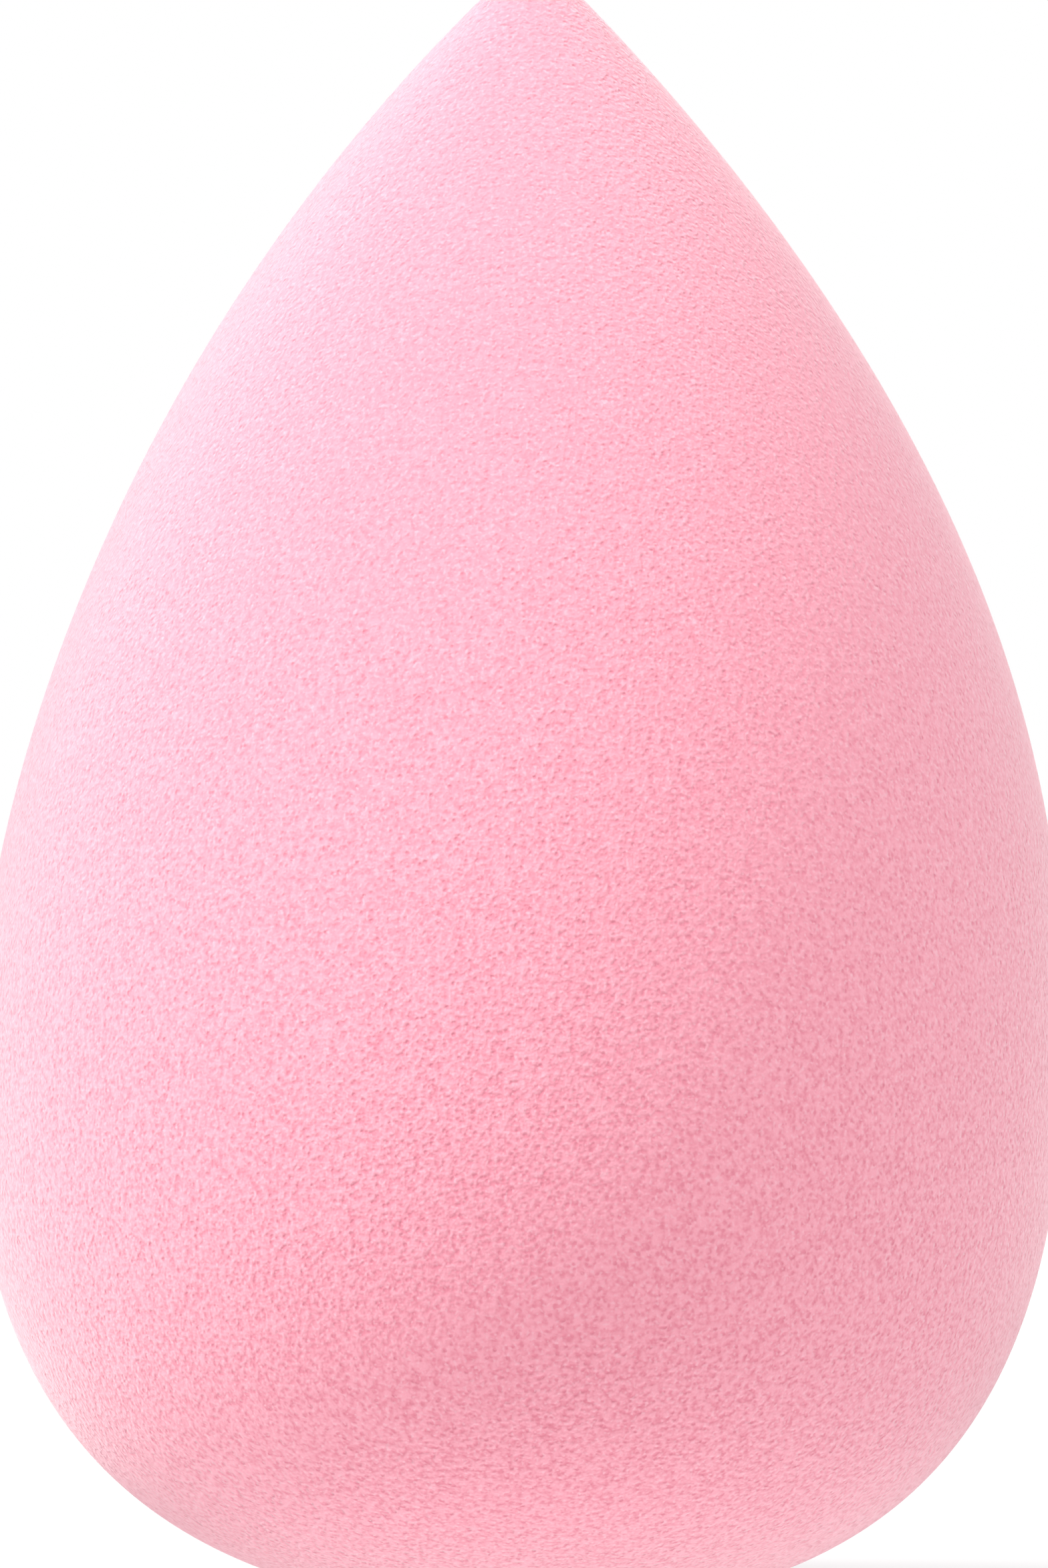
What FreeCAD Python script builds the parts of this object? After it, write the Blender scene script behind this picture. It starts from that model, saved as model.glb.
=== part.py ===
import FreeCAD, Part
import math
import os

# Teardrop makeup sponge, moulded in one piece from open-cell polyurethane foam.
# The origin is the centre of the flat that it stands on, and +Z runs up through the tip.
# Lengths are in millimetres and angles in degrees.

# Driving dimensions
moulded_height = 60.0  # from the lowest point of the round underside to the tip
belly_diameter = 40.0  # across the widest ring
belly_height = 19.8  # from the lowest point of the round underside to the widest ring
tip_radius = 2.4  # of the rounded point
tip_half_angle = 45.0  # between the axis and the side, where the side leaves the rounded point
tip_reach = 8.7  # how far the side holds that slope on its way down from the point
shoulder_reach = 18.9  # how far the side stays near upright above the widest ring
hip_reach = 12.7  # how far it stays near upright below the widest ring
seat_reach = 13.9  # how far the underside stays near level out from the axis
foot_flat_depth = 0.5  # how deep the round underside is flattened where it stands

belly_radius = belly_diameter / 2
lowest_level = -foot_flat_depth
belly_level = lowest_level + belly_height
tip_level = lowest_level + moulded_height
side_slope = math.radians(tip_half_angle)


def at(radius, level):
    """A point of the half outline, by its distance from the axis and its level above the foot."""
    return FreeCAD.Vector(radius, 0, level)


def on_tip(turn):
    """A point of the rounded tip, by its angle from the axis."""
    return at(tip_radius * math.sin(turn), tip_level - tip_radius * (1 - math.cos(turn)))


def curve(*poles):
    """A smooth stretch of the outline, which leaves and arrives along the lines to its middle poles."""
    stretch = Part.BezierCurve()
    stretch.setPoles(list(poles))
    return stretch


def moulded_teardrop():
    """The foam as the mould shapes it: a half outline of tip, side and underside, turned about the axis."""
    tip_turn = math.pi / 2 - side_slope
    tip_top = on_tip(0)
    tip_end = on_tip(tip_turn)
    below_tip = tip_end + FreeCAD.Vector(math.sin(side_slope), 0, -math.cos(side_slope)) * tip_reach
    above_belly = at(belly_radius, belly_level + shoulder_reach)
    belly = at(belly_radius, belly_level)
    below_belly = at(belly_radius, belly_level - hip_reach)
    beside_lowest = at(seat_reach, lowest_level)
    lowest = at(0, lowest_level)
    outline = [
        Part.Arc(tip_top, on_tip(tip_turn / 2), tip_end),
        curve(tip_end, below_tip, above_belly, belly),
        curve(belly, below_belly, beside_lowest, lowest),
        Part.LineSegment(lowest, tip_top),
    ]
    half = Part.Face(Part.Wire([stretch.toShape() for stretch in outline]))
    return half.revolve(FreeCAD.Vector(0, 0, 0), FreeCAD.Vector(0, 0, 1), 360)


def under_the_foot():
    """The round of the underside below the flat, as a disc wide enough to take all of it."""
    return Part.makeCylinder(belly_diameter, foot_flat_depth, at(0, lowest_level))


foam_body = moulded_teardrop().cut(under_the_foot())

os.makedirs("parts", exist_ok=True)
foam_body.exportStep("parts/foam_body.step")
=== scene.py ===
import math

import bpy
from mathutils import Matrix, Vector


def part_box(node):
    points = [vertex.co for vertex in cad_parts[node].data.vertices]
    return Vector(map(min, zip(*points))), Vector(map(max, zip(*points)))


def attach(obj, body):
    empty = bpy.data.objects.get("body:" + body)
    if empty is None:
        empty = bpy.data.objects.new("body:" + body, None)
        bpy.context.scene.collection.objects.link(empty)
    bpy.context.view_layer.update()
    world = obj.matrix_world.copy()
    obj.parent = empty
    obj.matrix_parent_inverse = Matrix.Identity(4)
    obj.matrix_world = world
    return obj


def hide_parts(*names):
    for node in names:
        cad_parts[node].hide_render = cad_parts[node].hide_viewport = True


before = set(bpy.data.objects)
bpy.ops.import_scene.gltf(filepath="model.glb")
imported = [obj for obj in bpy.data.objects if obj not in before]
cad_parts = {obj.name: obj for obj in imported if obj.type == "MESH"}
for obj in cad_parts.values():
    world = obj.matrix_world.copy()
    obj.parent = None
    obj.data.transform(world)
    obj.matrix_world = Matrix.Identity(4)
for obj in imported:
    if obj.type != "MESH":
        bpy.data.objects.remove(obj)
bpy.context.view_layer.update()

# Foam sponge: one teardrop of soft open-cell polyurethane foam, dyed pink through and foamed in a
# closed mould. It has no skin, so its cells open at the surface as fine pores between thin strands.
# Nothing is fixed to it, and it stands loose on the small flat of its underside.
MM = 0.001
lowest_corner, highest_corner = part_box("foam_body")
belly_radius = (highest_corner.x - lowest_corner.x) / 2
tip_level = highest_corner.z
foot_level = max(lowest_corner.z, 0.0)
belly_level = 19.3 * MM
underside_level = -0.5 * MM  # of the round underside, before it is flattened at the foot
tip_radius = 2.4 * MM
side_slope = math.radians(45)  # between the axis and the side where it leaves the rounded tip
tip_reach = 8.7 * MM  # how far the side holds that slope
shoulder_reach = 18.9 * MM  # how far it stays near upright above the belly
hip_reach = 12.7 * MM  # and below it
seat_reach = 13.9 * MM  # how far the underside stays near level
steps_per_stretch = 200  # of the outline's three stretches: tip, side and underside

# The half outline, as one curve from the tip down to the underside.
tip_turn = math.pi / 2 - side_slope
round_reach = 4 / 3 * math.tan(tip_turn / 4) * tip_radius  # makes the tip's stretch an arc
side_way = Vector((math.sin(side_slope), 0, -math.cos(side_slope)))
tip_top = Vector((0, 0, tip_level))
tip_end = tip_top + tip_radius * Vector((math.sin(tip_turn), 0, math.cos(tip_turn) - 1))
belly = Vector((belly_radius, 0, belly_level))
underside = Vector((0, 0, underside_level))
knots = [
    (tip_top, tip_top, tip_top + Vector((round_reach, 0, 0))),
    (tip_end, tip_end - side_way * round_reach, tip_end + side_way * tip_reach),
    (belly, belly + Vector((0, 0, shoulder_reach)), belly - Vector((0, 0, hip_reach))),
    (underside, underside + Vector((seat_reach, 0, 0)), underside),
]
outline = bpy.data.curves.new("foam_outline", "CURVE")
outline.dimensions = "3D"
spline = outline.splines.new("BEZIER")
spline.resolution_u = steps_per_stretch
spline.bezier_points.add(len(knots) - 1)
for point, (knot, before, after) in zip(spline.bezier_points, knots):
    point.handle_left_type = point.handle_right_type = "FREE"
    point.co, point.handle_left, point.handle_right = knot, before, after


def linear(hex_colour):
    """An sRGB hex colour as the linear red, green, blue and alpha that nodes take."""
    levels = [int(hex_colour[i:i + 2], 16) / 255 for i in (1, 3, 5)]
    return [v / 12.92 if v <= 0.04045 else ((v + 0.055) / 1.055) ** 2.4 for v in levels] + [1.0]


def put(tree, kind, feeds, **settings):
    """Adds a node with its settings, and sets or links each input that feeds names."""
    node = tree.nodes.new(kind)
    for name, value in settings.items():
        setattr(node, name, value)
    for name, value in feeds.items():
        if isinstance(value, bpy.types.NodeSocket):
            tree.links.new(value, node.inputs[name])
        else:
            node.inputs[name].default_value = value
    return node


# Open-cell polyurethane foam, dyed through and moulded: fully matt, with a pale bloom where the
# thin cell walls are seen edge on, a deeper pink painted as shade down in the pores, and pale specks
# painted as highlights on the ends of strands.
# The deeper pink of the pores is painted shade, standing in for the shade down in them.
pore_shade_pink = linear("#F09BAF")
strand_pink = linear("#FBB8C8")
# Painted highlights: pale specks where the cut ends of strands catch the light.
strand_end_glint_pink = linear("#FDCDD9")
bloom_white = linear("#FFF1EF")
strand_width = 0.205 * MM  # between one strand of the foam and the next
strand_detail = 1.2  # how much finer fuzz there is on the strands
pore_width = 0.26 * MM  # between one pore and the next
pore_rim = 0.45  # how far a pore slopes out from its middle, as a share of pore_width
pore_depth = 0.30  # below the strands, as a share of their own relief
relief_depth = 0.08 * MM  # of the whole range of the strands
mean_relief = 0.45  # as a share of that range
deepest_relief = -0.25  # below the mean, where the painted pore shade is deepest
highest_relief = 0.21  # above the mean, where it is palest
strongest_pattern_level = 8 * MM  # up to which the painted pore shade and the paler strand tops show most
strongest_pattern_share = 1.5
faintest_pattern_level = 44 * MM  # above which they show least, towards the tip
faintest_pattern_share = 0.6
strand_end_glint_width = 0.12 * MM  # between the pale specks painted as highlights on the cut ends of strands
strand_end_glint_edge = 0.58  # of the fine pattern, where an end begins
strand_end_glint_middle = 0.78
strand_end_glint_share = 0.55  # how much of its painted highlight's pale pink an end shows
foam = bpy.data.materials.new("open_cell_polyurethane_foam")
foam.use_nodes = True
foam_look = foam.node_tree
foam_look.nodes.clear()
on_foam = put(foam_look, "ShaderNodeTexCoord", {}).outputs["Object"]
strands = put(foam_look, "ShaderNodeTexNoise", {
    "Vector": on_foam, "Scale": 1 / strand_width, "Detail": strand_detail}).outputs["Fac"]
pores = put(foam_look, "ShaderNodeTexVoronoi", {
    "Vector": on_foam, "Scale": 1 / pore_width}).outputs["Distance"]
open_pores = put(foam_look, "ShaderNodeMapRange", {
    "Value": pores, "From Max": pore_rim, "To Min": -pore_depth, "To Max": 0.0},
    interpolation_type="SMOOTHSTEP").outputs["Result"]
relief = put(foam_look, "ShaderNodeMath", {0: strands, 1: open_pores}, operation="ADD").outputs[0]
foam_level = put(foam_look, "ShaderNodeSeparateXYZ", {0: on_foam}).outputs["Z"]
# The painted pore shade and paler strand tops are strongest low down and faintest towards the tip.
pattern_strength = put(foam_look, "ShaderNodeMapRange", {
    "Value": foam_level, "From Min": strongest_pattern_level, "From Max": faintest_pattern_level,
    "To Min": strongest_pattern_share, "To Max": faintest_pattern_share}).outputs["Result"]
about_mean = put(foam_look, "ShaderNodeMath", {0: relief, 1: mean_relief},
                 operation="SUBTRACT").outputs[0]
relief_shown = put(foam_look, "ShaderNodeMath", {0: about_mean, 1: pattern_strength},
                   operation="MULTIPLY").outputs[0]
paleness = put(foam_look, "ShaderNodeMapRange", {
    "Value": relief_shown, "From Min": deepest_relief,
    "From Max": highest_relief}).outputs["Result"]
# Mixes the painted pore shade into the strands' own pink, by the relief.
dye_and_pore_shade_pink = put(foam_look, "ShaderNodeMix", {"Factor": paleness, 6: pore_shade_pink, 7: strand_pink},
                data_type="RGBA").outputs[2]
fine_pattern = put(foam_look, "ShaderNodeTexNoise", {
    "Vector": on_foam, "Scale": 1 / strand_end_glint_width, "Detail": 0.0}).outputs["Fac"]
# Pale specks painted as highlights on the ends of strands.
strand_end_glints = put(foam_look, "ShaderNodeMapRange", {
    "Value": fine_pattern, "From Min": strand_end_glint_edge, "From Max": strand_end_glint_middle,
    "To Max": strand_end_glint_share}).outputs["Result"]
foam_pink = put(foam_look, "ShaderNodeMix", {"Factor": strand_end_glints, 6: dye_and_pore_shade_pink, 7: strand_end_glint_pink},
                data_type="RGBA").outputs[2]
relief_normal = put(foam_look, "ShaderNodeBump", {
    "Height": relief, "Strength": 1.0, "Distance": relief_depth}).outputs["Normal"]
matt_foam = put(foam_look, "ShaderNodeBsdfPrincipled", {
    "Base Color": foam_pink, "Normal": relief_normal, "Roughness": 0.9, "Diffuse Roughness": 1.0,
    "Specular IOR Level": 0.2, "Sheen Weight": 0.56, "Sheen Roughness": 0.5, "Sheen Tint": bloom_white})
put(foam_look, "ShaderNodeOutputMaterial", {"Surface": matt_foam.outputs["BSDF"]})

# The mould draws a ball, made of six gridded sides, out to the outline and flattens its foot. The
# middle of the foam strays a little from the mould's axis, in a wave up its height.
mould_sizes = {
    "Facets": 128,  # along each of the six sides
    "Foot Level": foot_level,
    "Stray": 0.2 * MM,
    "Stray Wave": 48 * MM,
    "Stray Zero Level": 24.2 * MM,
}
mould = bpy.data.node_groups.new("foam_mould", "GeometryNodeTree")
mould.interface.new_socket("Outline", in_out="INPUT", socket_type="NodeSocketGeometry")
for size_name, size in mould_sizes.items():
    size_kind = "NodeSocketInt" if isinstance(size, int) else "NodeSocketFloat"
    mould.interface.new_socket(size_name, in_out="INPUT", socket_type=size_kind)
mould.interface.new_socket("Foam", in_out="OUTPUT", socket_type="NodeSocketGeometry")
given = put(mould, "NodeGroupInput", {}).outputs
on_block = put(mould, "GeometryNodeInputPosition", {}).outputs["Position"]
corners = put(mould, "ShaderNodeMath", {0: given["Facets"], 1: 1.0}, operation="ADD").outputs[0]
block = put(mould, "GeometryNodeMeshCube", {
    "Size": (2, 2, 2), "Vertices X": corners, "Vertices Y": corners, "Vertices Z": corners})

# Each side of the block has its own cell of the map, in three columns by axis and two rows by sign.
map_cell = (1 / 3, 1 / 2, 0)
side_in_cell = (0.49, 0.49, 0)  # half the width of a side, which leaves a margin in its cell
cell_middle = (0.5, 0.5, 0)
block_normal = put(mould, "GeometryNodeInputNormal", {}).outputs["Normal"]
facing = put(mould, "GeometryNodeFieldOnDomain", {"Value": block_normal},
             domain="FACE", data_type="FLOAT_VECTOR").outputs["Value"]
axis = put(mould, "ShaderNodeVectorMath", {0: facing}, operation="ABSOLUTE").outputs[0]
column = put(mould, "ShaderNodeVectorMath", {0: axis, 1: (0, 1, 2)},
             operation="DOT_PRODUCT").outputs["Value"]
half_sign = put(mould, "ShaderNodeVectorMath", {0: facing, 1: (0.5, 0.5, 0.5)},
                operation="DOT_PRODUCT").outputs["Value"]
row = put(mould, "ShaderNodeMath", {0: half_sign, 1: 0.5}, operation="ADD").outputs[0]
along = put(mould, "ShaderNodeSeparateXYZ", {0: on_block}).outputs
along_axis = put(mould, "ShaderNodeSeparateXYZ", {0: axis}).outputs
across = put(mould, "ShaderNodeMix", {
    "Factor": along_axis["X"], "A": along["X"], "B": along["Y"]}).outputs["Result"]
upward = put(mould, "ShaderNodeMix", {
    "Factor": along_axis["Z"], "A": along["Z"], "B": along["Y"]}).outputs["Result"]
cell = put(mould, "ShaderNodeCombineXYZ", {"X": column, "Y": row}).outputs[0]
on_side = put(mould, "ShaderNodeCombineXYZ", {"X": across, "Y": upward}).outputs[0]
in_cell = put(mould, "ShaderNodeVectorMath", {0: on_side, 1: side_in_cell, 2: cell_middle},
              operation="MULTIPLY_ADD").outputs[0]
on_sheet = put(mould, "ShaderNodeVectorMath", {0: cell, 1: in_cell}, operation="ADD").outputs[0]
on_map = put(mould, "ShaderNodeVectorMath", {0: on_sheet, 1: map_cell}, operation="MULTIPLY").outputs[0]
mapped = put(mould, "GeometryNodeStoreNamedAttribute", {
    "Geometry": block.outputs["Mesh"], "Name": "OFBake", "Value": on_map},
    domain="CORNER", data_type="FLOAT2").outputs["Geometry"]

# The block becomes an evenly gridded ball, and each latitude of it goes to its share of the outline.
angles = put(mould, "ShaderNodeVectorMath", {0: on_block, "Scale": math.pi / 4},
             operation="SCALE").outputs[0]
swollen = put(mould, "ShaderNodeVectorMath", {0: angles}, operation="TANGENT").outputs[0]
ball = put(mould, "ShaderNodeVectorMath", {0: swollen}, operation="NORMALIZE").outputs[0]
ball_level = put(mould, "ShaderNodeSeparateXYZ", {0: ball}).outputs["Z"]
latitude = put(mould, "ShaderNodeMath", {0: ball_level}, operation="ARCCOSINE").outputs[0]
share = put(mould, "ShaderNodeMath", {0: latitude, 1: math.pi}, operation="DIVIDE").outputs[0]
sampled = put(mould, "GeometryNodeSampleCurve", {"Curves": given["Outline"], "Factor": share},
              mode="FACTOR", use_all_curves=True).outputs["Position"]
on_outline = put(mould, "ShaderNodeSeparateXYZ", {0: sampled}).outputs
outward = put(mould, "ShaderNodeVectorMath", {0: ball, 1: (1, 1, 0)}, operation="MULTIPLY").outputs[0]
around = put(mould, "ShaderNodeVectorMath", {0: outward}, operation="NORMALIZE").outputs[0]
ring = put(mould, "ShaderNodeVectorMath", {0: around, "Scale": on_outline["X"]},
           operation="SCALE").outputs[0]
ring_level = put(mould, "ShaderNodeMath", {0: on_outline["Z"], 1: given["Foot Level"]},
                 operation="MAXIMUM").outputs[0]
from_zero = put(mould, "ShaderNodeMath", {0: ring_level, 1: given["Stray Zero Level"]},
                operation="SUBTRACT").outputs[0]
waves = put(mould, "ShaderNodeMath", {0: from_zero, 1: given["Stray Wave"]},
            operation="DIVIDE").outputs[0]
wave_turn = put(mould, "ShaderNodeMath", {0: waves, 1: 2 * math.pi}, operation="MULTIPLY").outputs[0]
swing = put(mould, "ShaderNodeMath", {0: wave_turn}, operation="SINE").outputs[0]
aside = put(mould, "ShaderNodeMath", {0: swing, 1: given["Stray"]}, operation="MULTIPLY").outputs[0]
ring_middle = put(mould, "ShaderNodeCombineXYZ", {"X": aside, "Z": ring_level}).outputs[0]
drawn = put(mould, "ShaderNodeVectorMath", {0: ring, 1: ring_middle}, operation="ADD").outputs[0]
teardrop = put(mould, "GeometryNodeSetPosition", {"Geometry": mapped, "Position": drawn})
smooth = put(mould, "GeometryNodeSetShadeSmooth", {"Geometry": teardrop.outputs["Geometry"]})
whole = put(mould, "GeometryNodeRealizeInstances", {"Geometry": smooth.outputs["Geometry"]})
dyed = put(mould, "GeometryNodeSetMaterial", {
    "Geometry": whole.outputs["Geometry"], "Material": foam})
put(mould, "NodeGroupOutput", {"Foam": dyed.outputs["Geometry"]})

pattern = bpy.data.objects.new("foam_outline", outline)
bpy.context.scene.collection.objects.link(pattern)
moulding = pattern.modifiers.new("foam_mould", "NODES")
moulding.node_group = mould
for item in mould.interface.items_tree:
    if item.in_out == "INPUT" and item.name in mould_sizes:
        moulding[item.identifier] = mould_sizes[item.name]
shaped = pattern.evaluated_get(bpy.context.evaluated_depsgraph_get())
sponge = bpy.data.objects.new("foam_sponge", bpy.data.meshes.new_from_object(shaped))
bpy.context.scene.collection.objects.link(sponge)
bpy.data.objects.remove(pattern)
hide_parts("foam_body")
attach(sponge, "root")

# Table top: a flat sheet of cast milky acrylic, as on a product photographer's table. Its material
# glows with painted light, brightest in a pool a little behind the sponge, and lights the sponge's
# underside.
half_width = 1.5  # metres
corner_ways = ((-1, -1), (1, -1), (1, 1), (-1, 1))
board_corners = [(x * half_width, y * half_width, foot_level) for x, y in corner_ways]
board = bpy.data.meshes.new("table_top")
board.from_pydata(board_corners, [], [(0, 1, 2, 3)])
table_top = bpy.data.objects.new("table_top", board)
bpy.context.scene.collection.objects.link(table_top)

# Cast milky acrylic with a matt face and a painted glow in its material: it looks white from that
# glow, takes a faint soft shadow, and throws most light on what stands over the painted pool of glow.
painted_glow_near = 1.06  # at the middle of the painted pool of glow
painted_glow_far = 0.7
glow_seen_near = 0.78  # by the camera, to which the table with the lamps' light on it looks white
glow_seen_far = 1.0  # out where the lamps hardly reach
lamp_reach = 900 * MM  # of the lamps above the table
painted_pool_radius = 60 * MM  # out to which the painted pool of glow reaches
painted_pool_middle = (0, 25 * MM, 0)
acrylic = bpy.data.materials.new("milky_acrylic_with_painted_glow")
acrylic.use_nodes = True
table_look = acrylic.node_tree
table_look.nodes.clear()
on_table = put(table_look, "ShaderNodeTexCoord", {}).outputs["Object"]
from_painted_pool = put(table_look, "ShaderNodeVectorMath", {0: on_table, 1: painted_pool_middle},
                operation="DISTANCE").outputs["Value"]
# Painted light: the table glows in its material, brightest in a pool a little behind the sponge.
painted_glow_thrown = put(table_look, "ShaderNodeMapRange", {
    "Value": from_painted_pool, "From Max": painted_pool_radius, "To Min": painted_glow_near, "To Max": painted_glow_far},
    interpolation_type="SMOOTHSTEP").outputs["Result"]
glow_seen = put(table_look, "ShaderNodeMapRange", {
    "Value": from_painted_pool, "From Min": painted_pool_radius, "From Max": lamp_reach,
    "To Min": glow_seen_near, "To Max": glow_seen_far}).outputs["Result"]
table_ray = put(table_look, "ShaderNodeLightPath", {}).outputs
table_mirrored = put(table_look, "ShaderNodeMath", {
    0: table_ray["Is Glossy Ray"], 1: table_ray["Is Transmission Ray"]}, operation="MAXIMUM").outputs[0]
table_in_sight = put(table_look, "ShaderNodeMath", {
    0: table_ray["Is Camera Ray"], 1: table_mirrored}, operation="MAXIMUM").outputs[0]
painted_table_glow = put(table_look, "ShaderNodeMix", {
    "Factor": table_in_sight, "A": painted_glow_thrown, "B": glow_seen}).outputs["Result"]
lit_sheet = put(table_look, "ShaderNodeBsdfPrincipled", {
    "Base Color": linear("#7C7C7C"), "Roughness": 0.9, "Specular IOR Level": 0.0,
    "Emission Color": linear("#FFFFFF"), "Emission Strength": painted_table_glow})
put(table_look, "ShaderNodeOutputMaterial", {"Surface": lit_sheet.outputs["BSDF"]})
board.materials.append(acrylic)

# Studio: a white room, which the camera and mirrors see and which throws no light of its own, and
# lamps on stands behind large round diffusers, all turned to the middle of the sponge.
scene = bpy.context.scene
studio = bpy.data.worlds.new("white_studio")
scene.world = studio
studio.use_nodes = True
room_look = studio.node_tree
room_look.nodes.clear()
room_ray = put(room_look, "ShaderNodeLightPath", {}).outputs
room_mirrored = put(room_look, "ShaderNodeMath", {
    0: room_ray["Is Glossy Ray"], 1: room_ray["Is Transmission Ray"]}, operation="MAXIMUM").outputs[0]
room_in_sight = put(room_look, "ShaderNodeMath", {
    0: room_ray["Is Camera Ray"], 1: room_mirrored}, operation="MAXIMUM").outputs[0]
white_room = put(room_look, "ShaderNodeBackground", {
    "Color": linear("#FFFFFF"), "Strength": room_in_sight})
put(room_look, "ShaderNodeOutputWorld", {"Surface": white_room.outputs["Background"]})

# name, azimuth from the camera's side (right positive), elevation, how bright it makes a white card
lamps = [
    ("key_left", -75, 45, 1.27),
    ("high_left", -45, 65, 0.345),
    ("high_right", 45, 65, 0.42),
    ("front", 15, 5, 0.37),
    ("rear", 178, 12, 0.45),
]
lamp_distance = 1.5  # metres
lamp_width = 0.75  # metres
sponge_middle = Vector((0, 0, tip_level / 2))
for lamp_name, azimuth, elevation, brightness in lamps:
    lamp = bpy.data.lights.new(lamp_name, "AREA")
    lamp.shape = "DISK"
    lamp.size = lamp_width
    lamp.energy = math.pi ** 2 * lamp_distance ** 2 * brightness
    turn, rise = math.radians(azimuth), math.radians(elevation)
    way = Vector((math.sin(turn) * math.cos(rise), -math.cos(turn) * math.cos(rise), math.sin(rise)))
    stand = bpy.data.objects.new(lamp_name, lamp)
    stand.location = sponge_middle + way * lamp_distance
    stand.rotation_euler = way.to_track_quat("Z", "Y").to_euler()
    scene.collection.objects.link(stand)

# Camera: level with the middle of the sponge and so close in that the tip and the foot run out of
# the picture. It is rolled a little, because the sponge leans in the picture.
picture_height_px = 2345
mm_per_px = 0.024547  # at the sponge's axis
camera_distance = 0.45  # metres, from the sponge's axis
centre_level = 29.8 * MM
centre_aside = -0.11 * MM
roll = math.radians(0.81)
lens = bpy.data.cameras.new("camera")
lens.sensor_width = 36.0
lens.lens = lens.sensor_width * camera_distance / (picture_height_px * mm_per_px * MM)
lens.clip_start = 0.01
camera = bpy.data.objects.new("camera", lens)
level_view = Matrix.Rotation(math.pi / 2, 4, "X") @ Matrix.Rotation(roll, 4, "Z")
camera.matrix_world = Matrix.Translation((centre_aside, -camera_distance, centre_level)) @ level_view
scene.collection.objects.link(camera)
scene.camera = camera
scene.view_settings.view_transform = "Standard"

bpy.context.view_layer.update()
